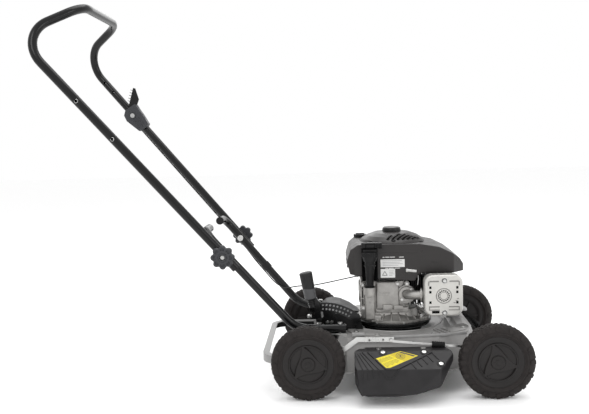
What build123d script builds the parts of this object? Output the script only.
from build123d import *
import os
from math import cos, radians, sin, tan

# Rotary lawn mower: pressed steel deck, vertical-shaft petrol engine, four equal
# wheels on cranked axles with one height lever, and a folding tube handle.
# Frame: +X forward, +Y to the operator's left, +Z up, origin on the ground under
# the crankshaft.  All sizes are millimetres.

os.makedirs("parts", exist_ok=True)

# ---------------------------------------------------------------- wheels and axles
WHEEL_RADIUS = 102.5
WHEEL_WIDTH = 45.0
WHEEL_Y = 260.0
AXLE_Z = WHEEL_RADIUS
REAR_AXLE_X = -255.0
FRONT_AXLE_X = 257.0
RIM_RADIUS = 72.0
LUGS = 16
AXLE_RADIUS = 6.0

# The wheel axle sits this far behind and above the pivot rod of its crank.
CRANK_DX = -42.0
CRANK_DZ = 26.5
PIVOT_Z = AXLE_Z - CRANK_DZ
REAR_PIVOT_X = REAR_AXLE_X - CRANK_DX
FRONT_PIVOT_X = FRONT_AXLE_X - CRANK_DX
PIVOT_ROD = 7.0
CRANK_PLATE_Y = 226.0
CRANK_PLATE = 6.0
ARM_EYE = 13.0
LINK_PIN_DX = -12.5
LINK_PIN_DZ = 42.0
LINK_Y = -216.0
LINK_PIN = 4.0

# ---------------------------------------------------------------- deck
SKIRT_Z = 63.0
DECK_TOP = 153.0
SHEET = 2.5
DECK_HALF = 232.0
DECK_REAR = -198.0
DECK_FRONT = 252.0
DECK_TAPER = 19.0
PLATE_TOP = 157.0
DISH_RADIUS = 150.0
DISH_FLOOR = 131.0
DISH_FLOOR_RADIUS = 94.0

# ---------------------------------------------------------------- handle
TUBE = 12.5
TUBE_WALL = 1.8
KNOB_X = -485.0
KNOB_Z = 396.0
LOWER_Y = 179.6
UPPER_Y = LOWER_Y + 2 * TUBE + 1.2
RUN_X, RUN_Y, RUN_Z = -0.651, 0.0784, 0.755
FOOT_Z = 170.0
FOOT_X = -148.0
FOOT_BOLTS = (FOOT_X - 16, FOOT_X - 76)
HOLE_RADIUS = 4.25
BOLT_RADIUS = 4.0

# ---------------------------------------------------------------- engine
SHAFT_RADIUS = 12.5
SHAFT_BORE = SHAFT_RADIUS + 0.06
RING_RADIUS = 116.0
RING_TOP = 168.0
CASE_TOP = 290.0
SHROUD_SHEET = 3.0


def write(builder, label):
    """Label a finished piece and write it as its own STEP file."""
    builder.part.label = label
    export_step(builder.part, "parts/" + label + ".step")


def along(start_y, distance):
    """A point on the sloping run of the handle, measured from the knob axis."""
    return (
        KNOB_X + RUN_X * distance,
        start_y + RUN_Y * distance,
        KNOB_Z + RUN_Z * distance,
    )


def flip(point, side):
    """Mirror a point to the given side: +1 left, -1 right."""
    return (point[0], side * point[1], point[2])


def cylinder_y(radius, y_from, y_to, x, z, mode=Mode.ADD):
    """A cylinder lying along Y between two stations."""
    plane = Plane(origin=(x, y_from, z), x_dir=(1, 0, 0), z_dir=(0, 1, 0))
    with BuildSketch(plane) as disc:
        Circle(radius)
    extrude(disc.sketch, amount=y_to - y_from, mode=mode)


def cylinder_z(radius, z_from, z_to, x=0.0, y=0.0, mode=Mode.ADD):
    """An upright cylinder between two heights."""
    with BuildSketch(Plane.XY.offset(z_from)) as disc:
        with Locations((x, y)):
            Circle(radius)
    extrude(disc.sketch, amount=z_to - z_from, mode=mode)


def block(x, y, z, mode=Mode.ADD):
    """A box given by its (low, high) pair on each axis."""
    with Locations(((x[0] + x[1]) / 2, (y[0] + y[1]) / 2, (z[0] + z[1]) / 2)):
        Box(x[1] - x[0], y[1] - y[0], z[1] - z[0], mode=mode)


def side_plate(points, y_from, y_to, mode=Mode.ADD, corner=0.0):
    """A plate drawn in the XZ plane and extruded along +Y."""
    plane = Plane(origin=(0, y_from, 0), x_dir=(1, 0, 0), z_dir=(0, -1, 0))
    with BuildSketch(plane) as outline:
        with BuildLine():
            Polyline(points, close=True)
        make_face()
        if corner:
            fillet(outline.vertices(), corner)
    extrude(outline.sketch, amount=-(y_to - y_from), mode=mode)


# ================================================================= wheels
def tyre_profile():
    """Half section of the tyre, radius along X and width along Y."""
    half = WHEEL_WIDTH / 2
    with BuildLine() as section:
        Polyline(
            (RIM_RADIUS, -half + 6),
            (RIM_RADIUS + 8, -half + 1.5),
            (RIM_RADIUS + 20, -half),
            (WHEEL_RADIUS - 4, -half + 3),
            (WHEEL_RADIUS, -half + 9),
            (WHEEL_RADIUS, half - 9),
            (WHEEL_RADIUS - 4, half - 3),
            (RIM_RADIUS + 20, half),
            (RIM_RADIUS + 8, half - 1.5),
            (RIM_RADIUS, half - 6),
            close=True,
        )
    make_face(section.edges())


def wheel(name, x, side):
    """One wheel: a treaded tyre and the moulded rim that it is pressed on."""
    centre = Plane(
        origin=(x, side * WHEEL_Y, AXLE_Z), x_dir=(1, 0, 0), z_dir=(0, 0, 1)
    )
    axis = Axis((x, side * WHEEL_Y, AXLE_Z), (0, 1, 0))
    half = WHEEL_WIDTH / 2
    with BuildPart() as tyre:
        with BuildSketch(centre):
            tyre_profile()
        revolve(axis=axis)
        # shallow lug recesses round both shoulders
        for face_side in (-1, 1):
            edge = Plane(
                origin=(x, side * WHEEL_Y + face_side * (half + 1), AXLE_Z),
                x_dir=(1, 0, 0),
                z_dir=(0, -face_side, 0),
            )
            with BuildSketch(edge):
                with PolarLocations(WHEEL_RADIUS - 9, LUGS):
                    Rectangle(9, 18)
            extrude(amount=3.4, mode=Mode.SUBTRACT)
    write(tyre, "tyre_" + name)

    with BuildPart() as rim:
        with BuildSketch(centre):
            with BuildLine():
                Polyline(
                    (AXLE_RADIUS + 0.08, -half + 4),
                    (20, -half + 4),
                    (22, -half + 8),
                    (50, -half + 8),
                    (56, -half + 6),
                    (RIM_RADIUS, -half + 6),
                    (RIM_RADIUS, half - 6),
                    (56, half - 6),
                    (50, half - 8),
                    (22, half - 8),
                    (20, half - 4),
                    (AXLE_RADIUS + 0.08, half - 4),
                    close=True,
                )
            make_face()
        revolve(axis=axis)
    write(rim, "rim_" + name)


for corner_name, corner_x, corner_side in (
    ("rear_right", REAR_AXLE_X, -1),
    ("rear_left", REAR_AXLE_X, 1),
    ("front_right", FRONT_AXLE_X, -1),
    ("front_left", FRONT_AXLE_X, 1),
):
    wheel(corner_name, corner_x, corner_side)


# ================================================================= cranked axles
def crank_arm(pivot_x, side, with_link_pin):
    """The flat arm between the pivot rod and the stub axle, and the stub itself."""
    inner = side * (CRANK_PLATE_Y - CRANK_PLATE / 2)
    outer = side * (CRANK_PLATE_Y + CRANK_PLATE / 2)
    low, high = min(inner, outer), max(inner, outer)
    axle_x = pivot_x + CRANK_DX
    plane = Plane(origin=(0, low, 0), x_dir=(1, 0, 0), z_dir=(0, -1, 0))
    with BuildSketch(plane) as arm:
        with BuildLine():
            Polyline((pivot_x, PIVOT_Z), (axle_x, AXLE_Z))
        trace(line_width=2 * ARM_EYE)
        with Locations((pivot_x, PIVOT_Z), (axle_x, AXLE_Z)):
            Circle(ARM_EYE)
        if with_link_pin:
            with BuildLine():
                Polyline(
                    (pivot_x, PIVOT_Z),
                    (pivot_x + LINK_PIN_DX, PIVOT_Z + LINK_PIN_DZ),
                )
            trace(line_width=18)
            with Locations((pivot_x + LINK_PIN_DX, PIVOT_Z + LINK_PIN_DZ)):
                Circle(9)
    extrude(arm.sketch, amount=-(high - low))
    stub_end = side * (WHEEL_Y + WHEEL_WIDTH / 2 - 3.5)
    cylinder_y(AXLE_RADIUS, outer, stub_end, axle_x, AXLE_Z)
    collar_end = side * (WHEEL_Y - WHEEL_WIDTH / 2 + 3.7)
    cylinder_y(11, outer, collar_end, axle_x, AXLE_Z)
    if with_link_pin:
        pin_x = pivot_x + LINK_PIN_DX
        pin_z = PIVOT_Z + LINK_PIN_DZ
        cylinder_y(LINK_PIN, inner, LINK_Y + 5.5, pin_x, pin_z)


def crank_axle(name, pivot_x):
    """Pivot rod across the deck with a crank arm and stub axle at each end."""
    with BuildPart() as axle:
        reach = CRANK_PLATE_Y - CRANK_PLATE / 2
        cylinder_y(PIVOT_ROD, -reach, reach, pivot_x, PIVOT_Z)
        crank_arm(pivot_x, -1, True)
        crank_arm(pivot_x, 1, False)
    write(axle, name)


crank_axle("rear_crank_axle", REAR_PIVOT_X)
crank_axle("front_crank_axle", FRONT_PIVOT_X)

# ================================================================= deck
def deck_outline():
    """Plan outline of the skirt: square at the back, narrowed at the front."""
    with BuildLine() as outline:
        Polyline(
            (DECK_REAR, -170),
            (DECK_REAR + 38, -DECK_HALF),
            (118, -DECK_HALF),
            (218, -168),
            (DECK_FRONT, -105),
            (DECK_FRONT, 105),
            (218, 168),
            (118, DECK_HALF),
            (DECK_REAR + 38, DECK_HALF),
            (DECK_REAR, 170),
            close=True,
        )
    make_face(outline.edges())


def deck_envelope(mode):
    """The deck's outside shape as one block, used to fit pieces against it."""
    with BuildSketch(Plane.XY.offset(SKIRT_Z)) as envelope:
        deck_outline()
        fillet(envelope.vertices(), 24)
    extrude(envelope.sketch, amount=DECK_TOP - SKIRT_Z, taper=DECK_TAPER, mode=mode)


with BuildPart() as deck:
    with BuildSketch(Plane.XY.offset(SKIRT_Z)) as skirt:
        deck_outline()
        fillet(skirt.vertices(), 24)
    extrude(amount=DECK_TOP - SKIRT_Z, taper=DECK_TAPER)
    # rolled lip round the bottom edge
    with BuildSketch(Plane.XY.offset(SKIRT_Z)) as lip:
        deck_outline()
        fillet(lip.vertices(), 24)
        offset(amount=3)
    extrude(amount=4)
    # inside of the cutting chamber
    with BuildSketch(Plane.XY.offset(SKIRT_Z)) as chamber:
        deck_outline()
        fillet(chamber.vertices(), 24)
        offset(amount=-SHEET)
    extrude(amount=DECK_TOP - SKIRT_Z - SHEET, taper=DECK_TAPER, mode=Mode.SUBTRACT)
    # round opening for the dished engine plate
    cylinder_z(DISH_RADIUS - 8, DECK_TOP - 10, DECK_TOP + 1, mode=Mode.SUBTRACT)
    # side discharge opening on the right
    block((-96, 108), (-260, -185), (SKIRT_Z - 1, 122), Mode.SUBTRACT)
write(deck, "deck")

with BuildPart() as engine_plate:
    with BuildSketch(Plane.XY.offset(DECK_TOP)) as plate_outline:
        with BuildLine():
            Polyline(
                (-141, -130),
                (-100, -199),
                (113, -199),
                (204, -150),
                (221, -92),
                (221, 92),
                (204, 150),
                (113, 199),
                (-100, 199),
                (-141, 130),
                close=True,
            )
        make_face()
        fillet(plate_outline.vertices(), 16)
        Circle(DISH_RADIUS, mode=Mode.SUBTRACT)
    extrude(amount=PLATE_TOP - DECK_TOP)
    # dish that sinks the engine seat below the rim
    with BuildSketch(Plane.XZ):
        with BuildLine():
            Polyline(
                (DISH_RADIUS, PLATE_TOP),
                (DISH_RADIUS - 8.5, PLATE_TOP),
                (DISH_FLOOR_RADIUS, DISH_FLOOR),
                (46, DISH_FLOOR),
                (46, DISH_FLOOR - SHEET),
                (DISH_FLOOR_RADIUS + 1, DISH_FLOOR - SHEET),
                (DISH_RADIUS - 8.5, DECK_TOP),
                (DISH_RADIUS, DECK_TOP),
                close=True,
            )
        make_face()
    revolve(axis=Axis.Z)
    # raised stiffening rib across the front
    side_plate(
        [(160, PLATE_TOP - 1), (212, PLATE_TOP - 1), (209, 163), (196, 168), (176, 166)],
        -108,
        108,
    )
write(engine_plate, "engine_plate")

with BuildPart() as deck_brackets:
    # ears that carry the two pivot rods, welded to the deck ends
    for side in (-1, 1):
        ear = (side * 150 - 4, side * 150 + 4)
        block((REAR_PIVOT_X - 14, DECK_REAR - 3.4), ear, (62, 92))
        cylinder_y(PIVOT_ROD + 0.08, ear[0] - 1, ear[1] + 1, REAR_PIVOT_X, PIVOT_Z, Mode.SUBTRACT)
    for side in (-1, 1):
        ear = (side * 84 - 4, side * 84 + 4)
        block((DECK_FRONT + 3.4, FRONT_PIVOT_X + 14), ear, (62, 92))
        cylinder_y(PIVOT_ROD + 0.08, ear[0] - 1, ear[1] + 1, FRONT_PIVOT_X, PIVOT_Z, Mode.SUBTRACT)
    # pads under the feet of the handle
    for side in (-1, 1):
        low, high = sorted((side * 137, side * 165))
        block((FOOT_X - 30, FOOT_X + 2), (low, high), (DECK_TOP, FOOT_Z - TUBE))
        block((FOOT_X - 90, FOOT_X - 30), (low, high), (FOOT_Z - TUBE - 3, FOOT_Z - TUBE))
        for bolt_x in FOOT_BOLTS:
            cylinder_z(BOLT_RADIUS + 0.2, 140, 160, bolt_x, side * 151, Mode.SUBTRACT)
write(deck_brackets, "deck_brackets")


# ================================================================= height link
LINK_HALF = 2.0
REAR_PIN = (REAR_PIVOT_X + LINK_PIN_DX, PIVOT_Z + LINK_PIN_DZ)
FRONT_PIN = (FRONT_PIVOT_X + LINK_PIN_DX, PIVOT_Z + LINK_PIN_DZ)
STRAP_END = (-16, 153)
ROD_RADIUS = 3.5
ROD_DEPTH = 4.6

with BuildPart() as height_link:
    strap_plane = Plane(
        origin=(0, LINK_Y - LINK_HALF, 0), x_dir=(1, 0, 0), z_dir=(0, -1, 0)
    )
    with BuildSketch(strap_plane) as strap:
        with BuildLine():
            Polyline(REAR_PIN, (-152, 129), (-118, 154), STRAP_END)
        trace(line_width=14)
        with Locations(REAR_PIN):
            Circle(9)
            Circle(LINK_PIN + 0.08, mode=Mode.SUBTRACT)
        with Locations((-84, 152), (-46, 153)):
            Circle(2.6, mode=Mode.SUBTRACT)
    extrude(amount=-2 * LINK_HALF)
    # rod from the strap to an eye on the front crank
    rod_plane = Plane(
        origin=(0, LINK_Y - LINK_HALF - ROD_DEPTH, 0),
        x_dir=(1, 0, 0),
        z_dir=(0, -1, 0),
    )
    with BuildSketch(rod_plane) as rod:
        with BuildLine():
            Polyline((-26, 150), (90, 139), (250, 126), FRONT_PIN)
        trace(line_width=2 * ROD_RADIUS)
        with Locations(FRONT_PIN):
            Circle(10)
            Circle(LINK_PIN + 0.6, mode=Mode.SUBTRACT)
    extrude(amount=-ROD_DEPTH)
write(height_link, "height_link")

# ================================================================= height lever
LEVER_Y = -128.0
LEVER_HALF = 3.0
LEVER_BASE = (-231, 240)
GRIP_LOW = (-248, 253)
GRIP_HIGH = (-261, 330)
GRIP_RADIUS = 19.0

with BuildPart() as height_lever:
    cylinder_y(13, LEVER_Y - 6, LEVER_Y + 6, REAR_PIVOT_X, PIVOT_Z)
    lever_plane = Plane(
        origin=(0, LEVER_Y - LEVER_HALF, 0), x_dir=(1, 0, 0), z_dir=(0, -1, 0)
    )
    with BuildSketch(lever_plane) as lever_arm:
        with BuildLine():
            Polyline(
                (REAR_PIVOT_X, PIVOT_Z), (-223.5, 175), LEVER_BASE, (-242, 258)
            )
        trace(line_width=17)
    extrude(amount=-2 * LEVER_HALF)
    cylinder_y(PIVOT_ROD, LEVER_Y - 7, LEVER_Y + 7, REAR_PIVOT_X, PIVOT_Z, Mode.SUBTRACT)
    grip_axis = Vector(GRIP_HIGH[0] - GRIP_LOW[0], 0, GRIP_HIGH[1] - GRIP_LOW[1])
    grip_length = grip_axis.length
    grip_base = Plane(
        origin=(GRIP_LOW[0], LEVER_Y, GRIP_LOW[1]), x_dir=(0, 1, 0), z_dir=grip_axis
    )
    with BuildSketch(grip_base.offset(-26)):
        Circle(9.3)
    extrude(amount=26)
    with BuildSketch(grip_base):
        Circle(40)
    extrude(amount=60, mode=Mode.SUBTRACT)
write(height_lever, "height_lever")

with BuildPart() as height_grip:
    with BuildSketch(grip_base):
        Circle(GRIP_RADIUS - 2)
    with BuildSketch(grip_base.offset(grip_length)):
        Circle(GRIP_RADIUS)
    loft()
    fillet(height_grip.edges().group_by(Axis.Z)[-1], 3)
    # grip flutes
    with BuildSketch(grip_base.offset(26)):
        with PolarLocations(GRIP_RADIUS + 0.6, 18):
            Circle(1.8)
    extrude(amount=grip_length - 34, mode=Mode.SUBTRACT)
write(height_grip, "height_grip")

# ================================================================= rear cover and quadrant
COVER_HALF = 112.0
QUADRANT_OUT = 163.0
QUADRANT_IN = 135.0
QUADRANT_Y = -118.0

with BuildPart() as rear_cover:
    side_plate(
        [
            (-226, 112), (-228, 165), (-221, 187), (-204, 201), (-184, 205),
            (-160, 201), (-130, 187), (-104, 168), (-97, 157.6), (-142.5, 157.6),
            (-142.5, 153.4), (-164, 153.4), (-180, 112),
        ],
        -COVER_HALF,
        COVER_HALF,
    )
    side_plate(
        [
            (-223, 100), (-225, 164), (-218, 185), (-203, 198), (-184, 202),
            (-161, 198), (-132, 184), (-107, 166), (-103, 150), (-183, 100),
        ],
        -COVER_HALF + 3,
        COVER_HALF - 3,
        Mode.SUBTRACT,
    )
    cylinder_z(RING_RADIUS + 4, 100, 230, mode=Mode.SUBTRACT)
    deck_envelope(Mode.SUBTRACT)
write(rear_cover, "rear_cover")

with BuildPart() as quadrant:
    quadrant_plane = Plane(
        origin=(0, QUADRANT_Y, 0), x_dir=(1, 0, 0), z_dir=(0, -1, 0)
    )
    with BuildSketch(quadrant_plane) as sector:
        with BuildLine():
            outer = CenterArc((REAR_PIVOT_X, PIVOT_Z), QUADRANT_OUT, 50, 56)
            inner = CenterArc((REAR_PIVOT_X, PIVOT_Z), QUADRANT_IN, 50, 56)
            Line(outer @ 0, inner @ 0)
            Line(outer @ 1, inner @ 1)
        make_face()
        # foot on the engine plate and tab on the rear cover
        with BuildLine():
            Polyline((-131, 184), (-108, 205), (-96, 157.2), (-118, 157.2), close=True)
        make_face()
        with BuildLine():
            Polyline((-208, 172), (-182, 172), (-176, 214), (-214, 214), close=True)
        make_face()
        with Locations((REAR_PIVOT_X, PIVOT_Z)):
            for row_radius in (QUADRANT_OUT - 8, QUADRANT_IN + 8):
                with PolarLocations(row_radius, 9, start_angle=58, angular_range=36):
                    Circle(3, mode=Mode.SUBTRACT)
        with Locations((-200, 180), (-188, 180)):
            Circle(2.6, mode=Mode.SUBTRACT)
    extrude(amount=-3)
write(quadrant, "height_quadrant")

with BuildPart() as cover_screws:
    for screw_x in (-200, -188):
        cylinder_y(2.5, QUADRANT_Y, -COVER_HALF, screw_x, 180)
        cylinder_y(4.5, QUADRANT_Y - 3, QUADRANT_Y, screw_x, 180)
    for screw_x, screw_z in ((-176, 146 + 14), (-212, 150), (-150, 170)):
        cylinder_y(4, -COVER_HALF - 2.5, -COVER_HALF, screw_x, screw_z)

# ================================================================= rear guard
GUARD_X = -388.0
GUARD_Y = 209.0
GUARD_FRONT = -150.0


def guard_strip(inset_out, inset_in, z_from, z_to):
    """A U-shaped strip in plan, between two insets from the guard's outline."""
    length = GUARD_FRONT - GUARD_X
    centre = (GUARD_X + length, 0)
    for inset, mode in ((inset_out, Mode.ADD), (inset_in, Mode.SUBTRACT)):
        with BuildSketch(Plane.XY.offset(z_from)) as region:
            with Locations(centre):
                RectangleRounded(2 * (length - inset), 2 * (GUARD_Y - inset), 52 - inset)
        extrude(region.sketch, amount=z_to - z_from, mode=mode)
    block((GUARD_FRONT - 0.01, 200), (-300, 300), (z_from - 1, z_to + 1), Mode.SUBTRACT)


with BuildPart() as rear_guard:
    guard_strip(0, 18, 104, 106.5)
    guard_strip(0, 2.5, 84, 104)
    deck_envelope(Mode.SUBTRACT)
write(rear_guard, "rear_guard_bar")

with BuildPart() as rear_skirt:
    guard_strip(2.5, 5.5, 84, 104)
    block((-250, 300), (-300, 300), (60, 120), Mode.SUBTRACT)
write(rear_skirt, "rear_skirt_strip")


# ================================================================= handle tubes
HANDLE_BEND = (KNOB_Z - FOOT_Z) / RUN_Z
STUB_BEND = 87.0
GRIP_CORNER = 816.0
STUB_Y = 104.0
LEFT_HOLES = (659.0, 702.0)
RIGHT_HOLES = (441.0, 580.0)
REAR_BACK = (-0.755, 0.0, -0.651)


def bent_tube(points, bend_radii):
    """A round tube swept along straight runs joined by arcs."""
    with BuildPart() as swept:
        with BuildLine() as route:
            FilletPolyline(*points, radius=bend_radii)
        path = route.wires()[0]
        start = Plane(origin=path @ 0, z_dir=path % 0)
        with BuildSketch(start) as ring:
            Circle(TUBE)
            Circle(TUBE - TUBE_WALL, mode=Mode.SUBTRACT)
        sweep(ring.sketch, path=path)
    return swept.part


for side, name in ((-1, "right"), (1, "left")):
    lower_route = [
        flip((FOOT_X, 150.0, FOOT_Z), side),
        flip(along(LOWER_Y, -HANDLE_BEND), side),
        flip(along(LOWER_Y, STUB_BEND), side),
        flip((*along(LOWER_Y, STUB_BEND)[:1], STUB_Y, along(LOWER_Y, STUB_BEND)[2]), side),
    ]
    with BuildPart() as lower_tube:
        add(bent_tube(lower_route, [90, 38]))
        low, high = sorted((side * (LOWER_Y - 20), side * (LOWER_Y + 20)))
        cylinder_y(HOLE_RADIUS, low, high, KNOB_X, KNOB_Z, Mode.SUBTRACT)
        for bolt_x in FOOT_BOLTS:
            cylinder_z(BOLT_RADIUS + 0.2, 140, 200, bolt_x, side * 151, Mode.SUBTRACT)
    write(lower_tube, "lower_handle_" + name)

with BuildPart() as stub_plugs:
    for side in (-1, 1):
        stub_x, stub_end, stub_z = along(LOWER_Y, STUB_BEND)
        low, high = sorted((side * (STUB_Y - 3), side * STUB_Y))
        cylinder_y(TUBE, low, high, stub_x, stub_z)
        low, high = sorted((side * STUB_Y, side * (STUB_Y + 12)))
        cylinder_y(TUBE - TUBE_WALL, low, high, stub_x, stub_z)
write(stub_plugs, "handle_end_plugs")

with BuildPart() as foot_bolts:
    for side in (-1, 1):
        for bolt_x, bolt_low in zip(FOOT_BOLTS, (DECK_TOP, 148)):
            cylinder_z(BOLT_RADIUS, bolt_low, FOOT_Z + TUBE, bolt_x, side * 151)
            with BuildSketch(Plane.XY.offset(FOOT_Z + TUBE)) as bolt_head:
                with Locations((bolt_x, side * 151)):
                    RegularPolygon(7, 6)
            extrude(amount=5)

with BuildPart() as upper_handle:
    corner = along(UPPER_Y, GRIP_CORNER)
    bar_end = (-865.0, 161.0, 1103.0)
    upper_route = [
        flip(along(UPPER_Y, -50), -1),
        flip(corner, -1),
        flip(bar_end, -1),
        bar_end,
        corner,
        along(UPPER_Y, -50),
    ]
    add(bent_tube(upper_route, [80, 90, 90, 80]))
    cylinder_y(HOLE_RADIUS, -UPPER_Y - 20, -UPPER_Y + 20, KNOB_X, KNOB_Z, Mode.SUBTRACT)
    cylinder_y(HOLE_RADIUS, UPPER_Y - 20, UPPER_Y + 20, KNOB_X, KNOB_Z, Mode.SUBTRACT)
    for distance in RIGHT_HOLES:
        x, y, z = along(UPPER_Y, distance)
        cylinder_y(HOLE_RADIUS, -y - 20, -y + 20, x, z, Mode.SUBTRACT)
    for distance in LEFT_HOLES:
        x, y, z = along(UPPER_Y, distance)
        cylinder_y(HOLE_RADIUS, y - 20, y + 20, x, z, Mode.SUBTRACT)
write(upper_handle, "upper_handle")

# ---------------------------------------------------------------- clamp knobs
KNOB_INNER = UPPER_Y + TUBE + 1.0
KNOB_FACE = KNOB_INNER + 25.0
BOLT_INNER = LOWER_Y - TUBE - 1.2

for side, name in ((-1, "right"), (1, "left")):
    with BuildPart() as knob:
        low, high = sorted((side * KNOB_INNER, side * (KNOB_INNER + 5)))
        cylinder_y(11, low, high, KNOB_X, KNOB_Z)
        knob_plane = Plane(
            origin=(KNOB_X, side * (KNOB_INNER + 5), KNOB_Z),
            x_dir=(1, 0, 0),
            z_dir=(0, side, 0),
        )
        with BuildSketch(knob_plane):
            Circle(30)
            with PolarLocations(26, 8):
                Circle(8)
        extrude(amount=20)
        fillet(knob.faces().sort_by(Axis.Y)[-1 if side > 0 else 0].edges(), 3)
        low, high = sorted((side * KNOB_INNER, side * (KNOB_FACE + 1)))
        cylinder_y(BOLT_RADIUS + 0.08, low, high, KNOB_X, KNOB_Z, Mode.SUBTRACT)
        low, high = sorted((side * (KNOB_FACE - 7), side * (KNOB_FACE + 1)))
        cylinder_y(8, low, high, KNOB_X, KNOB_Z, Mode.SUBTRACT)
    write(knob, "clamp_knob_" + name)

with BuildPart() as clamp_bolts:
    for side in (-1, 1):
        low, high = sorted((side * BOLT_INNER, side * (KNOB_FACE - 3)))
        cylinder_y(BOLT_RADIUS, low, high, KNOB_X, KNOB_Z)
        low, high = sorted((side * (BOLT_INNER - 5), side * BOLT_INNER))
        cylinder_y(9.5, low, high, KNOB_X, KNOB_Z)
write(clamp_bolts, "clamp_bolts")

# ---------------------------------------------------------------- throttle control
THROTTLE = 551.0
THROTTLE_X, THROTTLE_Y, THROTTLE_Z = along(UPPER_Y, THROTTLE)
CONTROL_INNER = THROTTLE_Y - 26.0
CONTROL_OUTER = THROTTLE_Y + 2.0
SLOT = (THROTTLE_Y - 20.5, THROTTLE_Y - 15.5)


def on_control(s, w):
    """A point s up the tube and w towards the front of it, in the XZ plane."""
    return (
        THROTTLE_X + RUN_X * s - REAR_BACK[0] * w,
        THROTTLE_Z + RUN_Z * s - REAR_BACK[2] * w,
    )


HOUSING_OUTLINE = [
    (30, -6), (20, -22), (0, -28), (-18, -25), (-54, -19), (-60, 8), (-56, 20),
    (-20, 27), (4, 30), (24, 34),
]
LEVER_SLOT = [(-40, -13), (2, -13), (14, -32), (60, -32), (60, 60), (-40, 60)]
LEVER_OUTLINE = [
    (-9, -6), (8, -8), (35, 12), (68, 64), (62, 68), (27, 52), (10, 20), (-8, 9),
]

with BuildPart() as throttle_housing:
    side_plate([on_control(s, w) for s, w in HOUSING_OUTLINE], CONTROL_INNER, CONTROL_OUTER)
    fillet(throttle_housing.edges().filter_by(Axis.Y), 5)
    # slot for the lever, open at the front and the top
    side_plate(
        [on_control(s, w) for s, w in LEVER_SLOT],
        SLOT[0],
        SLOT[1],
        Mode.SUBTRACT,
    )
    # seat for the handle tube
    seat = Plane(
        origin=along(UPPER_Y, THROTTLE - 90), z_dir=(RUN_X, RUN_Y, RUN_Z)
    )
    with BuildSketch(seat):
        Circle(TUBE + 0.05)
    extrude(amount=180, mode=Mode.SUBTRACT)
    cylinder_y(3.2, CONTROL_INNER - 1, THROTTLE_Y - TUBE, THROTTLE_X, THROTTLE_Z, Mode.SUBTRACT)

with BuildPart() as throttle_lever:
    side_plate([on_control(s, w) for s, w in LEVER_OUTLINE], SLOT[0] + 0.5, SLOT[1] - 0.5)
    cylinder_y(3.1, SLOT[0], SLOT[1], THROTTLE_X, THROTTLE_Z, Mode.SUBTRACT)
write(throttle_lever, "throttle_lever")

with BuildPart() as throttle_bolt:
    cylinder_y(3.0, CONTROL_INNER, THROTTLE_Y - TUBE - 1.2, THROTTLE_X, THROTTLE_Z)
    cylinder_y(7.5, CONTROL_INNER - 3.5, CONTROL_INNER, THROTTLE_X, THROTTLE_Z)
write(throttle_bolt, "throttle_bolt")

# ---------------------------------------------------------------- throttle cable
CABLE = 1.8
CABLE_OFFSET = TUBE + CABLE + 0.4


def beside(start_y, distance, back, inboard):
    """A point beside the left tube: back of its axis and towards the middle."""
    x, y, z = along(start_y, distance)
    return (x + REAR_BACK[0] * back, y - inboard, z + REAR_BACK[2] * back)


def midpoint(first, second):
    return tuple((a + b) / 2 for a, b in zip(first, second))


def bend_radii(points):
    """The largest arc that each corner of a cord's route leaves room for."""
    radii = []
    for before, here, after in zip(points, points[1:], points[2:]):
        first = Vector(*here) - Vector(*before)
        second = Vector(*after) - Vector(*here)
        half_turn = radians(first.get_angle(second)) / 2
        radii.append(0.45 * min(first.length, second.length) / tan(half_turn))
    return radii


def cord(points, label):
    """A solid cord along straight runs joined by tangent arcs."""
    radii = bend_radii(points)
    print(label, "bend radii", [round(r, 1) for r in radii])
    with BuildPart() as swept:
        with BuildLine() as route:
            FilletPolyline(*points, radius=radii)
        path = route.wires()[0]
        with BuildSketch(Plane(origin=path @ 0, z_dir=path % 0)) as section:
            Circle(CABLE)
        sweep(section.sketch, path=path)
    print(label, "length", round(path.length, 1), "volume", round(swept.part.volume, 1))
    write(swept, label)
    return swept.part


CROSS_LOW = beside(LOWER_Y, -92, CABLE_OFFSET, 0)
CROSS_HIGH = beside(UPPER_Y, -25, CABLE_OFFSET, 0)
CROSS_MIDDLE = midpoint(CROSS_LOW, CROSS_HIGH)
CABLE_END = (-80.0, 100.0, 278.0)

upper_cable = cord(
    [
        CROSS_MIDDLE,
        CROSS_HIGH,
        beside(UPPER_Y, THROTTLE - 50, CABLE_OFFSET, 0),
    ],
    "throttle_cable_upper",
)
lower_cable = cord(
    [
        CROSS_MIDDLE,
        CROSS_LOW,
        beside(LOWER_Y, -150, CABLE_OFFSET + 0.6, 0),
        beside(LOWER_Y, -186, 13.5, 12),
        beside(LOWER_Y, -222, 2, 18),
        (-300, 136, 237),
        (-252, 112, 242),
        (-196, 102, 254),
        (-136, 100, 267),
        CABLE_END,
    ],
    "throttle_cable_lower",
)

with BuildPart() as control_body:
    add(throttle_housing.part)
    add(upper_cable, mode=Mode.SUBTRACT)
write(control_body, "throttle_housing")

with BuildPart() as cable_clip:
    clip_plane = Plane(
        origin=along(LOWER_Y, -128), x_dir=(0.0, 1.0, -0.1033), z_dir=(RUN_X, RUN_Y, RUN_Z)
    )
    with BuildSketch(clip_plane) as clip:
        Circle(TUBE + 2.4)
        Circle(TUBE + 0.05, mode=Mode.SUBTRACT)
    extrude(amount=11, both=True)
    add(lower_cable, mode=Mode.SUBTRACT)
write(cable_clip, "cable_clip")

# ================================================================= discharge chute
CHUTE_SHEET = 3.0
CHUTE_INNER_Y = -213.0
CHUTE_BOLTS = (-60, 62)


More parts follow.
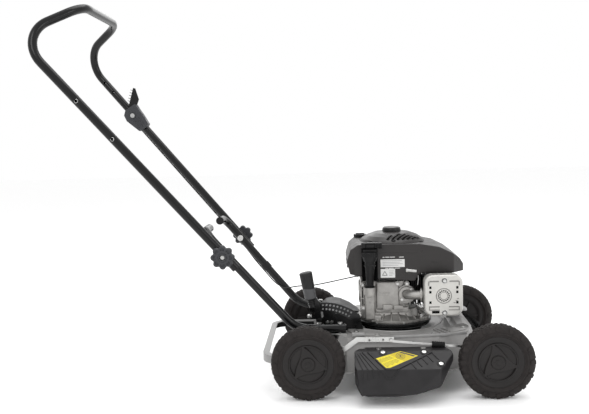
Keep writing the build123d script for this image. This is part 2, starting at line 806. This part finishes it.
def chute_block(inset, overrun):
    """The chute's outside shape, or with an inset the hollow inside it."""
    near = CHUTE_INNER_Y + overrun
    with BuildPart() as shape:
        with BuildSketch(Plane.YZ) as across:
            with BuildLine():
                Polyline(
                    (near, 131 - inset),
                    (-250 + inset / 2, 131 - inset),
                    (-314 + inset, 98 - inset),
                    (-334 + inset, 38),
                    (-330 + inset, 31 - overrun),
                    (near, 31 - overrun),
                    close=True,
                )
            make_face()
        extrude(across.sketch, amount=160, both=True)
        with BuildSketch(Plane.XY) as plan:
            with BuildLine():
                Polyline(
                    (-108 + inset, near),
                    (-127 + inset, -248),
                    (-129 + inset, -300),
                    (-116 + inset, -334 + inset),
                    (30, -334 + inset),
                    (98 - inset, -316 + inset),
                    (140 - inset, -262),
                    (126 - inset, near),
                    close=True,
                )
            make_face()
            fillet(plan.vertices().group_by(Axis.Y)[0], 22 - inset)
        extrude(plan.sketch, amount=200, mode=Mode.INTERSECT)
        side_plate(
            [
                (-150, 140), (-138 + inset, 100), (-134 + inset, 64), (-112 + inset, 30 - overrun),
                (-10, 30 - overrun), (44, 38 - overrun), (98, 50 - overrun), (128 - inset, 88),
                (144 - inset, 112), (150, 140),
            ],
            -400,
            -100,
            Mode.INTERSECT,
        )
    return shape.part


with BuildPart() as chute:
    add(chute_block(0, 0))
    add(chute_block(CHUTE_SHEET, 12), mode=Mode.SUBTRACT)
    # room for the height link to pass behind the top edge
    block((-150, -98), (-226, -190), (104, 140), Mode.SUBTRACT)
    deck_envelope(Mode.SUBTRACT)
    add(deck.part, mode=Mode.SUBTRACT)
    for bolt_x in CHUTE_BOLTS:
        cylinder_z(3, 120, 135, bolt_x, -236, Mode.SUBTRACT)
write(chute, "discharge_chute")

chute_slope = Plane(
    origin=(-20, -282, 131 - 33.0 * 32 / 64), x_dir=(1, 0, 0), z_dir=(0, -33, 64)
)
LABEL_CORNERS = [(-56, 4), (18, 33), (64, 15), (-22, -33)]
with BuildPart() as chute_label:
    with BuildSketch(chute_slope) as label_shape:
        with BuildLine():
            Polyline(*LABEL_CORNERS, close=True)
        make_face()
    extrude(amount=0.6)

with BuildPart() as chute_bolts:
    for bolt_x in CHUTE_BOLTS:
        cylinder_z(7, 131, 134, bolt_x, -236)
        cylinder_z(3, 124, 131, bolt_x, -236)

# ================================================================= engine seat and block
with BuildPart() as mount_ring:
    with BuildSketch(Plane.XZ):
        with BuildLine():
            Polyline(
                (46, DISH_FLOOR), (86, DISH_FLOOR), (88, 134), (88, 140), (80, 143),
                (80, 151), (109, 151), (111, 153), (111, 156), (113, 158), (116, 160),
                (116, 166), (114, RING_TOP), (46, RING_TOP),
                close=True,
            )
        make_face()
    revolve(axis=Axis.Z)
write(mount_ring, "engine_mount_ring")

CASE_X = (-98.0, 45.0)
CASE_HALF = 78.0
SUMP_TOP = 204.0

with BuildPart() as sump:
    with BuildSketch(Plane.XY.offset(RING_TOP)) as sump_flange:
        Circle(88)
        with Locations((18, 0)):
            RectangleRounded(172, 148, 30)
    extrude(amount=8)
    with BuildSketch(Plane.XY.offset(RING_TOP + 8)) as sump_body:
        with Locations((-12, 0)):
            RectangleRounded(172, 160, 40)
    extrude(amount=SUMP_TOP - RING_TOP - 8, taper=12)
    cylinder_z(SHAFT_BORE, 160, 210, mode=Mode.SUBTRACT)
write(sump, "engine_sump")

with BuildPart() as crankcase:
    block(CASE_X, (-CASE_HALF, CASE_HALF), (SUMP_TOP, CASE_TOP))
    fillet(crankcase.edges().filter_by(Axis.Z), 26)
    # upright ribs on the rear corner
    for rib_y in (-58, -34, 34, 58):
        block((CASE_X[0] - 3, CASE_X[0] + 8), (rib_y - 2, rib_y + 2), (SUMP_TOP, CASE_TOP - 20))
    # boss that takes the oil filler tube
    cylinder_z(17, 258, 279, -75, -108)
    block((-86, -64), (-108, -70), (258, 279))
    # bracket that holds the end of the throttle cable
    block((-93, -90), (60, 110), (262, 291))
    bracket_hole = Plane(origin=(-98, 100, 274.5), x_dir=(0, 1, 0), z_dir=(1, 0, 0.1964))
    with BuildSketch(bracket_hole):
        Circle(2.3)
    extrude(amount=14, mode=Mode.SUBTRACT)
    # inside of the case
    block((-90, 37), (-68, 68), (SUMP_TOP - 1, CASE_TOP - 8), Mode.SUBTRACT)
    cylinder_z(SHAFT_BORE, CASE_TOP - 20, CASE_TOP + 1, mode=Mode.SUBTRACT)
write(crankcase, "crankcase")

BORE_Z = 256.0
with BuildPart() as cylinder:
    barrel_plane = Plane(origin=(CASE_X[1], 0, BORE_Z), x_dir=(0, 1, 0), z_dir=(1, 0, 0))
    with BuildSketch(barrel_plane):
        Circle(38)
    extrude(amount=75)
    for fin in range(6):
        fin_x = CASE_X[1] + 8 + 11 * fin
        block((fin_x, fin_x + 3), (-50, 50), (BORE_Z - 42, BORE_Z + 42))
    with BuildSketch(barrel_plane):
        Circle(29)
    extrude(amount=75, mode=Mode.SUBTRACT)
    # head cast in one with the barrel
    with BuildSketch(barrel_plane.offset(75)):
        RectangleRounded(104, 88, 8)
    extrude(amount=24)
write(cylinder, "cylinder_and_head")

with BuildPart() as valve_cover:
    block((144, 170), (-40, 40), (BORE_Z - 34, BORE_Z + 34))
    fillet(valve_cover.edges().filter_by(Axis.X), 12)
    fillet(valve_cover.faces().sort_by(Axis.X)[-1].edges(), 6)
write(valve_cover, "valve_cover")

with BuildPart() as spark_plug:
    cylinder_y(6, 52, 66, 132, 250)
    cylinder_y(9, 66, 96, 132, 250)
write(spark_plug, "spark_plug_and_boot")

# ---------------------------------------------------------------- exhaust
GUARD_LOW = (78.0, 201.0)
GUARD_HIGH = (187.0, 320.0)
GUARD_CENTRE = ((GUARD_LOW[0] + GUARD_HIGH[0]) / 2, (GUARD_LOW[1] + GUARD_HIGH[1]) / 2)

with BuildPart() as muffler:
    block((86, 179), (-144, -70), (209, 312))
    fillet(muffler.edges().filter_by(Axis.Y), 16)
    cylinder_y(12, -70, -52, 132, BORE_Z)
write(muffler, "muffler")

with BuildPart() as muffler_guard:
    guard_plane = Plane(
        origin=(GUARD_CENTRE[0], -156, GUARD_CENTRE[1]), x_dir=(1, 0, 0), z_dir=(0, -1, 0)
    )
    width = GUARD_HIGH[0] - GUARD_LOW[0]
    height = GUARD_HIGH[1] - GUARD_LOW[1]
    with BuildSketch(guard_plane):
        RectangleRounded(width, height, 24)
    extrude(amount=-34)
    fillet(muffler_guard.faces().sort_by(Axis.Y)[0].edges(), 6)
    with BuildSketch(guard_plane.offset(-2)):
        RectangleRounded(width - 4, height - 4, 22)
    extrude(amount=-40, mode=Mode.SUBTRACT)
    # perforated circle and cooling slots
    with BuildSketch(guard_plane.offset(1)):
        with PolarLocations(15, 16):
            Circle(1.6)
        for slot_x in (-38, 38):
            for slot_z in (24, 11, -19):
                with Locations((slot_x, slot_z)):
                    Rectangle(5, 7)
        with Locations((-23, -47)):
            Rectangle(20, 7)
    extrude(amount=-6, mode=Mode.SUBTRACT)
write(muffler_guard, "muffler_guard")

with BuildPart() as guard_screws:
    for screw_z in (GUARD_CENTRE[1] + 44, GUARD_CENTRE[1] - 49):
        cylinder_y(5, -158.5, -156, GUARD_CENTRE[0] + 2, screw_z)
        cylinder_y(2.5, -154, -144, GUARD_CENTRE[0] + 2, screw_z)

# ---------------------------------------------------------------- shroud
SHROUD_HALF = 105.0
SHROUD_TOP = 404.0
ROPE_X = -68.0
ROPE_Z = 403.0
FUEL_CAP_X = -93.0
FUEL_CAP_Y = 76.0


def shroud_block(inset, overrun):
    """The shroud's outside shape, or with an inset the hollow inside it."""
    with BuildPart() as shape:
        side_plate(
            [
                (-132 + inset, 315 - overrun), (-140 + inset, 354), (-129 + inset, 388 - inset),
                (-107, SHROUD_TOP - inset), (72, SHROUD_TOP - inset), (132, 392 - inset),
                (168, 374 - inset), (194 - inset, 354 - inset), (206 - inset, 336 - inset),
                (206 - inset, 314 - overrun), (70, 316 - overrun), (57, 294 - overrun),
                (-44, 302 - overrun),
            ],
            -SHROUD_HALF + inset,
            SHROUD_HALF - inset,
        )
        with BuildSketch(Plane.XY.offset(200)) as plan:
            with BuildLine():
                Polyline(
                    (-141 + inset, -84 + inset / 2), (-118 + inset / 2, -SHROUD_HALF + inset),
                    (70, -SHROUD_HALF + inset), (172, -92 + inset), (207 - inset, -56),
                    (207 - inset, 56), (172, 92 - inset), (70, SHROUD_HALF - inset),
                    (-118 + inset / 2, SHROUD_HALF - inset), (-141 + inset, 84 - inset / 2),
                    close=True,
                )
            make_face()
        extrude(plan.sketch, amount=260, mode=Mode.INTERSECT)
    return shape.part


with BuildPart() as shroud:
    add(shroud_block(0, 0))
    cylinder_z(20, 380, SHROUD_TOP, FUEL_CAP_X, FUEL_CAP_Y)
    add(shroud_block(SHROUD_SHEET, 30), mode=Mode.SUBTRACT)
    cylinder_z(16, 360, SHROUD_TOP + 1, FUEL_CAP_X, FUEL_CAP_Y, Mode.SUBTRACT)
    # opening under the recoil starter and the slot for its rope
    cylinder_z(90, 380, 410, mode=Mode.SUBTRACT)
    block((ROPE_X - 13, ROPE_X + 13), (-108, -97), (396, 411))
    block((ROPE_X - 3, ROPE_X + 3), (-110, -55), (ROPE_Z - 3, ROPE_Z + 3), Mode.SUBTRACT)
    # hollow that the oil filler stands in
    cylinder_z(25, 280, 396, -74, -124, Mode.SUBTRACT)
write(shroud, "engine_shroud")

VENT_LENGTHS = (26, 44, 46, 42, 34, 26, 18)
VENT_FIRST_X = -20.0
VENT_PITCH = 14.5
VENT_WIDTH = 6.0
VENT_FOOT_RADIUS = 86.0
VENT_ANGLE = 38.0

with BuildPart() as recoil_cover:
    with BuildSketch(Plane.XZ):
        with BuildLine():
            Polyline((0, 443), (23, 443), (27, 439), (27, 431), (54, 428), (76, 420), (92, 410), (98, SHROUD_TOP),
                     (94, SHROUD_TOP), (88.5, 409), (74, 417), (53, 425), (30, 428), (6, 429),
                     (5.92, 396), (0, 396), close=True)
        make_face()
    revolve(axis=Axis.Z)
    # slanted cooling vents over the right-hand half
    for vent, length in enumerate(VENT_LENGTHS):
        foot_x = VENT_FIRST_X + VENT_PITCH * vent
        foot_y = -((VENT_FOOT_RADIUS**2 - foot_x**2) ** 0.5)
        middle = (
            foot_x + length / 2 * sin(radians(VENT_ANGLE)),
            foot_y + length / 2 * cos(radians(VENT_ANGLE)),
            SHROUD_TOP + 14,
        )
        with Locations(Location(middle, (0, 0, -VENT_ANGLE))):
            Box(VENT_WIDTH, length, 40, mode=Mode.SUBTRACT)
    block((ROPE_X - 5, ROPE_X + 5), (-110, -40), (ROPE_Z - 5, ROPE_Z + 5), Mode.SUBTRACT)
write(recoil_cover, "recoil_cover")

# ---------------------------------------------------------------- recoil starter
with BuildPart() as starter_pulley:
    with BuildSketch(Plane.XZ):
        with BuildLine():
            Polyline(
                (6, 397.5), (70, 397.5), (70, 399), (65.5, 400.5), (65.5, 405.5), (70, 407),
                (70, 408.5), (6, 408.5),
                close=True,
            )
        make_face()
    revolve(axis=Axis.Z)
write(starter_pulley, "starter_pulley")

with BuildPart() as starter_grip:
    block((ROPE_X - 30, ROPE_X + 30), (-127, -108.5), (394.5, 412.5))
    fillet(starter_grip.edges().filter_by(Axis.X), 6)
    fillet(starter_grip.edges().group_by(Axis.X)[0], 2)
    fillet(starter_grip.edges().group_by(Axis.X)[-1], 2)
write(starter_grip, "starter_grip")

with BuildPart() as starter_rope:
    cylinder_y(2, -108.5, -4, ROPE_X, ROPE_Z)
write(starter_rope, "starter_rope")

# ---------------------------------------------------------------- fuel, oil, air
with BuildPart() as fuel_tank:
    block((-123, -92), (-92, 92), (322, 376))
    fillet(fuel_tank.edges().filter_by(Axis.X), 8)
    block((-121, -94), (-90, 90), (324, 374), Mode.SUBTRACT)
write(fuel_tank, "fuel_tank")

with BuildPart() as fuel_cap:
    with BuildSketch(Plane.XY.offset(SHROUD_TOP + 0.3)):
        with Locations((FUEL_CAP_X, FUEL_CAP_Y)):
            Circle(20)
            with PolarLocations(20, 12):
                Circle(2, mode=Mode.SUBTRACT)
    extrude(amount=8)
write(fuel_cap, "fuel_cap")

with BuildPart() as filler_tube:
    with BuildSketch(Plane.XY.offset(279)):
        with Locations((-75, -108)):
            Circle(10.5)
    with BuildSketch(Plane.XY.offset(359)):
        with Locations((-74, -124)):
            Circle(16)
    loft()
write(filler_tube, "oil_filler_tube")

with BuildPart() as oil_cap:
    with BuildSketch(Plane.XY.offset(359.3)):
        with Locations((-74, -124)):
            Circle(19)
    with BuildSketch(Plane.XY.offset(372)):
        with Locations((-74, -124)):
            Circle(22)
    loft()
    cylinder_z(22, 372, 384, -74, -124)
    block((-94, -54), (-127, -121), (384, 393))
write(oil_cap, "oil_cap")

with BuildPart() as carburettor:
    block((-44, -4), (CASE_HALF, 112), (226, 268))
    fillet(carburettor.edges().filter_by(Axis.Y), 6)
write(carburettor, "carburettor")

with BuildPart() as air_filter:
    block((-72, 44), (112, 152), (212, 292))
    fillet(air_filter.edges().filter_by(Axis.Y), 14)
    fillet(air_filter.faces().sort_by(Axis.Y)[-1].edges(), 6)
write(air_filter, "air_filter_cover")

with BuildPart() as labels:
    block((-42, 28), (-SHROUD_HALF - 0.5, -SHROUD_HALF), (337, 360))
    block((-42, 0), (-SHROUD_HALF - 0.5, -SHROUD_HALF), (306, 332))
    add(chute_label.part)
write(labels, "labels")

with BuildPart() as fasteners:
    add(cover_screws.part)
    add(foot_bolts.part)
    add(chute_bolts.part)
    add(guard_screws.part)
write(fasteners, "screws_and_bolts")

# ---------------------------------------------------------------- rotor and blade
with BuildPart() as crankshaft:
    cylinder_z(SHAFT_RADIUS, 92, 392)
    cylinder_z(34, 232, 244)
    cylinder_z(34, 262, 274)
write(crankshaft, "crankshaft")

with BuildPart() as flywheel:
    cylinder_z(84, 340, 352)
    cylinder_z(30, 352, 384)
    with PolarLocations(66, 20):
        with Locations((0, 0, 361)):
            Box(30, 2.5, 18)
    cylinder_z(SHAFT_RADIUS, 330, 390, mode=Mode.SUBTRACT)
write(flywheel, "flywheel")

with BuildPart() as blade_boss:
    cylinder_z(24, 84, 116)
    cylinder_z(SHAFT_RADIUS, 92, 120, mode=Mode.SUBTRACT)
write(blade_boss, "blade_boss")

with BuildPart() as blade:
    with BuildSketch(Plane.XY.offset(80)):
        Rectangle(356, 54)
        Circle(5.2, mode=Mode.SUBTRACT)
    extrude(amount=4)
    # raised wings behind the cutting edges
    for side in (-1, 1):
        wing = Plane(
            origin=(side * 140, -side * 20, 84), x_dir=(1, 0, 0), z_dir=(0, -side * 0.45, 1)
        )
        with BuildSketch(wing):
            Rectangle(70, 12)
        extrude(amount=10)
    fillet(blade.edges().filter_by(Axis.Z).group_by(SortBy.LENGTH)[0], 1)
write(blade, "cutting_blade")

with BuildPart() as blade_bolt:
    cylinder_z(5.1, 80, 84)
    cylinder_z(17, 77, 80)
    with BuildSketch(Plane.XY.offset(70)):
        RegularPolygon(10, 6)
    extrude(amount=7)
write(blade_bolt, "blade_bolt")
